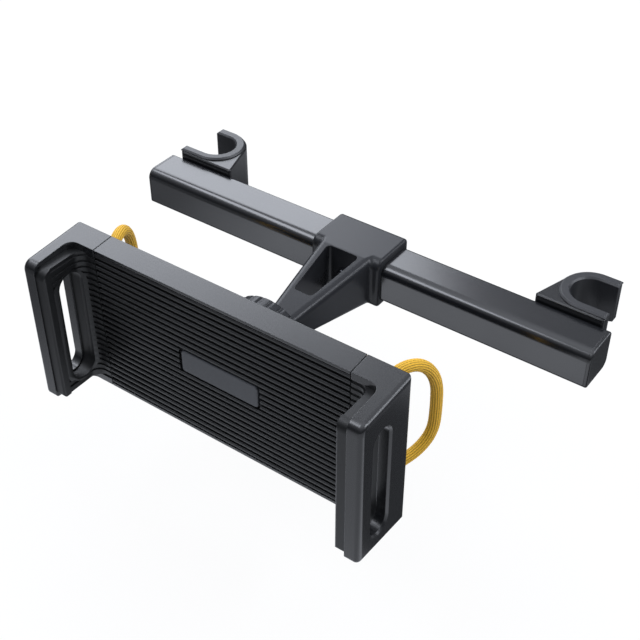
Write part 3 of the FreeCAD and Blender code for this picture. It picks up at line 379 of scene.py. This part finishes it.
class BadgeFinish(Operator):
    """Gives the blank badge plate its smooth face"""

    bl_idname = "tablet_mount.badge"
    bl_label = "Badge plate"

    def execute(self, context):
        # Polycarbonate inlay: smooth, a tone lighter than the rubber round it
        inlay = grained(
            "polycarbonate_inlay", settings().badge, grain_mm=1.2, relief_mm=0.003,
            roughness=0.38, edge_mm=0.1,
        )
        finish_nodes(inlay, "badge_plate")
        return {"FINISHED"}


def only(piece):
    """Makes this the only selected object and the active one."""
    bpy.ops.object.select_all(action="DESELECT")
    piece.select_set(True)
    bpy.context.view_layer.objects.active = piece


def edit_all():
    """Enters edit mode with everything selected."""
    bpy.ops.object.mode_set(mode="EDIT")
    bpy.ops.mesh.select_all(action="SELECT")


def leave_edit():
    """Goes back to object mode, which writes the edits into the mesh."""
    bpy.ops.object.mode_set(mode="OBJECT")


def face_outwards():
    """In edit mode, turns every face outwards."""
    bpy.ops.mesh.select_all(action="SELECT")
    bpy.ops.mesh.normals_make_consistent(inside=False)


def select_where(piece, wanted):
    """In edit mode, selects the vertices whose place is wanted."""
    bpy.ops.mesh.select_all(action="DESELECT")
    bpy.ops.object.mode_set(mode="OBJECT")
    for vertex in piece.data.vertices:
        vertex.select = wanted(vertex.co)
    bpy.ops.object.mode_set(mode="EDIT")


def apply_modifier(piece, kind, **values):
    """Adds a modifier with its settings and applies it."""
    modifier = piece.modifiers.new(kind.lower(), kind)
    for key, value in values.items():
        setattr(modifier, key, value)
    only(piece)
    bpy.ops.object.modifier_apply(modifier=modifier.name)


def mirror_copy(original, name):
    """A copy on the left of a piece made on the right, with its own mesh."""
    twin = original.copy()
    twin.name = name
    twin.data = original.data.copy()
    bpy.context.scene.collection.objects.link(twin)
    only(twin)
    bpy.ops.transform.mirror(constraint_axis=(True, False, False), center_override=(0, 0, 0))
    bpy.ops.object.transform_apply(location=True, rotation=True, scale=True)
    edit_all()
    face_outwards()
    leave_edit()
    return twin


class SlotRims(Operator):
    """Frames the slot of each jaw's liner with a smooth rim, which closes the grooves' ends"""

    bl_idname = "tablet_mount.slot_rims"
    bl_label = "Slot rims"

    def execute(self, context):
        rim = self.frame_tube()
        bay = self.bay()
        apply_modifier(rim, "BOOLEAN", operation="DIFFERENCE", solver="EXACT", object=bay)
        bpy.data.objects.remove(bay)
        apply_modifier(rim, "BEVEL", width=RIM_EDGE_MM * MM, segments=2, limit_method="ANGLE")
        rim.data.materials.clear()
        rim.data.materials.append(NODES["jaw_liner_right"].data.materials[0])
        only(rim)
        bpy.ops.object.shade_smooth_by_angle(angle=math.radians(RIM_SMOOTH_DEG))
        twin = mirror_copy(rim, "slot_rim_left")
        for piece, side in ((rim, "right"), (twin, "left")):
            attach(piece, f"jaw_body_{side}")
        return {"FINISHED"}

    def frame_tube(self):
        """A short tube of the slot's outline, from inside the liner out past its ribs."""
        width, length = RIM_SLOT_MM
        radius, half_run = width / 2 * MM, (length - width) / 2 * MM
        out_x, in_x = RIM_OUT_MM * MM, RIM_IN_MM * MM
        bpy.ops.object.select_all(action="DESELECT")
        bpy.ops.mesh.primitive_cylinder_add(
            vertices=RIM_POINTS, radius=radius, depth=in_x - out_x, end_fill_type="NOTHING",
            rotation=(0, 0, math.pi / RIM_POINTS),
        )
        rim = bpy.context.object
        rim.name = "slot_rim_right"
        bpy.ops.object.transform_apply(rotation=True)
        rim.rotation_euler = (0, math.pi / 2, 0)
        bpy.ops.object.transform_apply(rotation=True)

        # The round tube's halves move apart and give it the slot's outline
        bpy.ops.object.mode_set(mode="EDIT")
        for sign in (1, -1):
            select_where(rim, lambda place: place.z * sign > 0)
            bpy.ops.transform.translate(value=(0, 0, sign * half_run))
        face_outwards()
        leave_edit()
        apply_modifier(
            rim, "SOLIDIFY", thickness=RIM_WIDTH_MM * MM, offset=1.0, use_even_offset=True
        )

        # The rim's outer wall is pulled towards the nose, where the grooves end
        edit_all()
        outside = -radius - RIM_WIDTH_MM / 10 * MM
        select_where(rim, lambda place: place.y < outside)
        bpy.ops.transform.translate(value=(0, -RIM_NOSE_MM * MM, 0))
        leave_edit()
        only(rim)
        rim.location = ((out_x + in_x) / 2, RIM_MIDDLE_MM[0] * MM, RIM_MIDDLE_MM[1] * MM)
        bpy.ops.object.transform_apply(location=True)
        return rim

    def bay(self):
        """The room between the liners, whose upright corner is rounded as the ribs are."""
        low, high = (Vector(c) * MM for c in BAY_MM)
        hair = HAIR_MM * MM
        bpy.ops.object.select_all(action="DESELECT")
        bpy.ops.mesh.primitive_cube_add(size=1.0, location=(low + high) / 2)
        bay = bpy.context.object
        bay.scale = high - low
        bpy.ops.object.transform_apply(location=True, scale=True)
        bpy.ops.object.mode_set(mode="EDIT")
        select_where(bay, lambda place: place.x > high.x - hair and place.y > high.y - hair)
        bpy.ops.mesh.bevel(
            offset=BAY_CORNER_MM * MM, segments=BAY_CORNER_STEPS, affect="EDGES"
        )
        leave_edit()
        return bay


def spline_points(side):
    """The points of a smooth line through the cord's route, on the right (+1) or left (-1)."""
    curve = bpy.data.curves.new("cord_route", "CURVE")
    curve.dimensions = "3D"
    curve.resolution_u = CORD_STEPS_PER_RUN
    spline = curve.splines.new("NURBS")
    spline.points.add(len(CORD_ROUTE_MM) - 1)
    for point, (x, y, z) in zip(spline.points, CORD_ROUTE_MM):
        point.co = (side * x * MM, (HOLDER_BACK_MM + y) * MM, z * MM, 1.0)
    spline.order_u = 3
    spline.use_endpoint_u = True
    holder = bpy.data.objects.new("cord_route", curve)
    bpy.context.scene.collection.objects.link(holder)
    bpy.context.view_layer.update()
    evaluated = holder.evaluated_get(bpy.context.evaluated_depsgraph_get())
    line = bpy.data.meshes.new_from_object(evaluated)
    points = [v.co.copy() for v in line.vertices]
    bpy.data.objects.remove(holder)
    bpy.data.curves.remove(curve)
    bpy.data.meshes.remove(line)
    return points


def stitch_height(around, along, ribs):
    """How far a point of the woven cover stands out: rows of stitches, each half a stitch on."""
    row = around * ribs
    shift = 0.5 * (int(row) % 2)
    crown = abs(math.sin(math.pi * row)) ** ROW_FULLNESS
    wave = math.sin(math.pi * (along / (STITCH_MM * MM) + shift))
    stitch = abs(wave) ** STITCH_FULLNESS
    return crown * (1 - STITCH_SHARE + STITCH_SHARE * stitch)


def woven_tube(name, points, diameter, ribs):
    """A closed mesh tube along the points, with the relief and the UV map of its woven cover."""
    relief = COVER_RELIEF_MM * MM
    sides = ribs * POINTS_PER_ROW
    last = len(points) - 1
    ahead = (points[1] - points[0]).normalized()
    out = ahead.cross(Vector((0, 0, 1))).normalized()
    along = 0.0
    vertices, runs = [], []
    for i, point in enumerate(points):
        following = (points[min(i + 1, last)] - points[max(i - 1, 0)]).normalized()
        turn = ahead.rotation_difference(following)
        ahead = following
        out = (turn @ out).normalized()
        across = ahead.cross(out)
        if i:
            along += (point - points[i - 1]).length
        runs.append(along)
        for side in range(sides):
            share = side / sides
            radius = diameter / 2 - relief * (1 - stitch_height(share, along, ribs))
            angle = 2 * math.pi * share
            vertices.append(point + (out * math.cos(angle) + across * math.sin(angle)) * radius)

    faces, places = [], []
    for i in range(last):
        for side in range(sides):
            here, beside = i * sides + side, i * sides + (side + 1) % sides
            faces.append((here, beside, beside + sides, here + sides))
            low, high = side / sides, (side + 1) / sides
            places += [(low, runs[i]), (high, runs[i]), (high, runs[i + 1]), (low, runs[i + 1])]
    caps = [tuple(reversed(range(sides))), tuple(range(len(vertices) - sides, len(vertices)))]
    mesh = bpy.data.meshes.new(name)
    mesh.from_pydata(vertices, [], faces + caps)
    layer = mesh.uv_layers.new(name="weave")
    for i, (around, run) in enumerate(places):
        layer.data[i].uv = (around * ribs, run / MM)
    mesh.shade_smooth()
    mesh.validate()
    piece = bpy.data.objects.new(name, mesh)
    bpy.context.scene.collection.objects.link(piece)
    return piece


def woven_material():
    # Woven polyester over rubber: rows of gold yarn, with painted shade between the rows and a
    # painted highlight on their crowns
    material, tree = new_material("polyester_woven")
    weave = add_node(tree, "UVMap", uv_map="weave").outputs["UV"]
    split = add_node(tree, "SeparateXYZ", {"Vector": weave})
    row = add_node(tree, "Math", {0: split.outputs["X"], 1: math.pi}, operation="MULTIPLY")
    wave = add_node(tree, "Math", {0: row.outputs[0]}, operation="SINE")
    crown = add_node(tree, "Math", {0: wave.outputs[0]}, operation="ABSOLUTE")
    gold = settings().cord
    # Painted shade and highlight: the cord's colour darkens to 0.3 in the grooves between the rows
    # and brightens to 1.15 on the rows' crowns
    shades = [(0.0, rgba(gold, 0.3)), (0.65, rgba(gold, 1.15))]
    tone = add_node(tree, "ValToRGB", {"Fac": crown.outputs[0]}, stops=shades)
    # The yarn's threads, 0.5 mm apart, change the tone a little and stand out under the light
    place = add_node(tree, "TexCoord").outputs["Object"]
    yarn = add_node(tree, "TexNoise", {"Vector": place, "Scale": per_mm(0.5), "Detail": 3.0})
    shade = add_node(tree, "MapRange", {
        "Value": yarn.outputs["Fac"], "To Min": 0.8, "To Max": 1.1, **NOISE_RANGE,
    })
    colour = add_node(
        tree, "Mix",
        {"Factor": 1.0, "A": tone.outputs["Color"], "B": shade.outputs["Result"]},
        data_type="RGBA", blend_type="MULTIPLY",
    )
    bump = add_node(
        tree, "Bump", {"Height": yarn.outputs["Fac"], "Distance": 0.08 * MM, "Strength": 0.5}
    )
    surface = add_node(tree, "BsdfPrincipled", {
        "Base Color": colour.outputs["Result"],
        "Roughness": 0.72,
        "Sheen Weight": 0.15,
        "Sheen Roughness": 0.4,
        "Normal": bump.outputs["Normal"],
    })
    add_node(tree, "OutputMaterial", {"Surface": surface.outputs[0]})
    return material


class CordLoops(Operator):
    """Makes the two woven cord loops behind the jaws"""

    bl_idname = "tablet_mount.cord_loops"
    bl_label = "Cord loops"

    def execute(self, context):
        material = woven_material()
        values = settings()
        for side, sign in (("left", -1), ("right", 1)):
            points = spline_points(sign)
            loop = woven_tube(f"woven_loop_{side}", points, values.cord_diameter, values.cord_ribs)
            loop.data.materials.append(material)
            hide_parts(f"cord_loop_{side}")
            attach(loop, f"jaw_body_{side}")
        return {"FINISHED"}


class HookSprings(Operator):
    """Gives each of the hooks' springs a mesh of its own"""

    bl_idname = "tablet_mount.hook_springs"
    bl_label = "Hook springs"

    def execute(self, context):
        for side, sign in (("left", -1), ("right", 1)):
            spring = NODES[f"hook_spring_{side}"]
            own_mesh(spring)
        return {"FINISHED"}


class Stage(Operator):
    """Makes the pale floor, the soft lights and the camera"""

    bl_idname = "tablet_mount.stage"
    bl_label = "Stage"

    def execute(self, context):
        scene = context.scene
        scene.view_settings.view_transform = "Standard"
        scene.world = self.studio()
        low, high = (Vector(c) for c in CAD_BOX)
        self.floor(low.z - settings().floor_drop)
        for panel in PANELS:
            self.panel((low + high) / 2, *panel)
        self.camera()
        return {"FINISHED"}

    def floor(self, height):
        """A plain sheet of paper below the object."""
        bpy.ops.object.select_all(action="DESELECT")
        bpy.ops.mesh.primitive_plane_add(size=FLOOR_SIZE, location=(0, 0, height))
        floor = bpy.context.object
        floor.name = "floor"
        floor.data.materials.append(self.floor_paper())

    def panel(self, middle, name, azimuth, elevation, size, radiance):
        """A soft rectangular light that faces the object's middle."""
        turn, rise = math.radians(azimuth), math.radians(elevation)
        level = math.cos(rise)
        away = Vector((-math.sin(turn) * level, math.cos(turn) * level, math.sin(rise)))
        data = bpy.data.lights.new(name, "AREA")
        data.shape = "RECTANGLE"
        data.size, data.size_y = size
        data.energy = radiance * math.pi * size[0] * size[1]
        data.color = COOL_LIGHT
        lamp = bpy.data.objects.new(name, data)
        lamp.location = middle + away * PANEL_DISTANCE
        lamp.rotation_mode = "QUATERNION"
        lamp.rotation_quaternion = (middle - lamp.location).to_track_quat("-Z", "Y")
        bpy.context.scene.collection.objects.link(lamp)

    def camera(self):
        """The camera at the photograph's place and angle."""
        data = bpy.data.cameras.new("camera")
        data.lens = CAMERA_LENS_MM
        data.sensor_width = CAMERA_SENSOR_MM
        data.clip_start = 0.01
        camera = bpy.data.objects.new("camera", data)
        camera.location = CAMERA_PLACE
        camera.rotation_mode = "QUATERNION"
        camera.rotation_quaternion = Vector(CAMERA_SIGHT).to_track_quat("-Z", "Y")
        bpy.context.scene.collection.objects.link(camera)
        bpy.context.scene.camera = camera

    def studio(self):
        # A dim room under a pale ceiling, which the camera sees as white
        world = bpy.data.worlds.new("studio")
        world.use_nodes = True
        tree = world.node_tree
        tree.nodes.clear()
        sight = add_node(tree, "TexCoord").outputs["Generated"]
        split = add_node(tree, "SeparateXYZ", {"Vector": sight})
        height = add_node(
            tree, "Math", {0: split.outputs["Z"], 1: ROOM_RISE}, operation="POWER", use_clamp=True
        )
        light = {"Value": height.outputs[0], "To Min": ROOM_LOW, "To Max": ROOM_HIGH}
        strength = add_node(tree, "MapRange", light).outputs["Result"]
        sky = add_node(tree, "Background", {"Color": rgba(COOL_LIGHT), "Strength": strength})
        seen = add_node(tree, "Background", {"Color": (1, 1, 1, 1), "Strength": 1.0})
        share = add_node(tree, "LightPath").outputs["Is Camera Ray"]
        mix = add_node(tree, "MixShader", {0: share, 1: sky.outputs[0], 2: seen.outputs[0]})
        add_node(tree, "OutputWorld", {"Surface": mix.outputs[0]})
        return world

    def floor_paper(self):
        # Matt paper, grey to the object and nearly white with its soft shadow to the camera
        material, tree = new_material("paper_matt")
        rays = add_node(tree, "LightPath").outputs
        tone = add_node(tree, "MapRange", {
            "Value": rays["Is Camera Ray"], "To Min": PAPER_TONE, "To Max": PAPER_TONE_SEEN,
        })
        paper = add_node(tree, "BsdfPrincipled", {
            "Base Color": tone.outputs["Result"],
            "Roughness": 0.9,
            "Specular IOR Level": 0.1,
        })
        white = add_node(tree, "Emission", {"Color": (1, 1, 1, 1), "Strength": 1.0})
        share = add_node(
            tree, "Math", {0: rays["Is Camera Ray"], 1: PAPER_WHITE_SHARE}, operation="MULTIPLY"
        )
        seen = add_node(
            tree, "MixShader", {0: share.outputs[0], 1: paper.outputs[0], 2: white.outputs[0]}
        )
        # Painted reflection: to glossy rays the paper is an emission, bright in front of the
        # object and dark behind it, and the glossy faces mirror that glow
        place = add_node(tree, "TexCoord").outputs["Object"]
        split = add_node(tree, "SeparateXYZ", {"Vector": place})
        reach = PAINTED_REFLECTION_REACH
        along = {"Value": split.outputs["Y"], "From Min": -reach, "From Max": reach}
        painted_reflection = add_node(
            tree, "ValToRGB", {"Fac": add_node(tree, "MapRange", along).outputs["Result"]},
            stops=[
                ((y + reach) / (2 * reach), rgba(COOL_LIGHT, level / max(COOL_LIGHT)))
                for y, level in PAINTED_REFLECTION_LEVELS
            ],
        )
        across = {
            "Value": split.outputs["X"],
            "From Min": PAINTED_REFLECTION_SIDE_X[0], "From Max": PAINTED_REFLECTION_SIDE_X[1],
            "To Min": PAINTED_REFLECTION_SIDE_LEVEL[0], "To Max": PAINTED_REFLECTION_SIDE_LEVEL[1],
        }
        side = add_node(tree, "MapRange", across).outputs["Result"]
        painted_reflection_glow = add_node(tree, "Emission", {"Color": painted_reflection.outputs["Color"], "Strength": side})
        mix = add_node(tree, "MixShader", {
            0: rays["Is Glossy Ray"], 1: seen.outputs[0], 2: painted_reflection_glow.outputs[0],
        })
        add_node(tree, "OutputMaterial", {"Surface": mix.outputs[0]})
        return material


STEPS = (
    PlasticFinish, RubberFinish, BarFinish, MetalFinish, BadgeFinish, SlotRims, CordLoops,
    HookSprings, Stage,
)


class MountPanel(Panel):
    """Lists the mount's settings and the operators that make its pieces"""

    bl_idname = "VIEW3D_PT_tablet_mount"
    bl_label = "Tablet mount"
    bl_space_type = "VIEW_3D"
    bl_region_type = "UI"
    bl_category = "Tablet mount"

    def draw(self, context):
        values = context.scene.tablet_mount
        for name in MountSettings.__annotations__:
            self.layout.prop(values, name)
        for step in STEPS:
            self.layout.operator(step.bl_idname)


CLASSES = (MountSettings, *STEPS, MountPanel)


def register():
    for cls in CLASSES:
        bpy.utils.register_class(cls)
    bpy.types.Scene.tablet_mount = PointerProperty(type=MountSettings)


def unregister():
    del bpy.types.Scene.tablet_mount
    for cls in reversed(CLASSES):
        bpy.utils.unregister_class(cls)


def main():
    register()
    for step in STEPS:
        group, name = step.bl_idname.split(".")
        getattr(getattr(bpy.ops, group), name)()


if __name__ == "__main__":
    main()
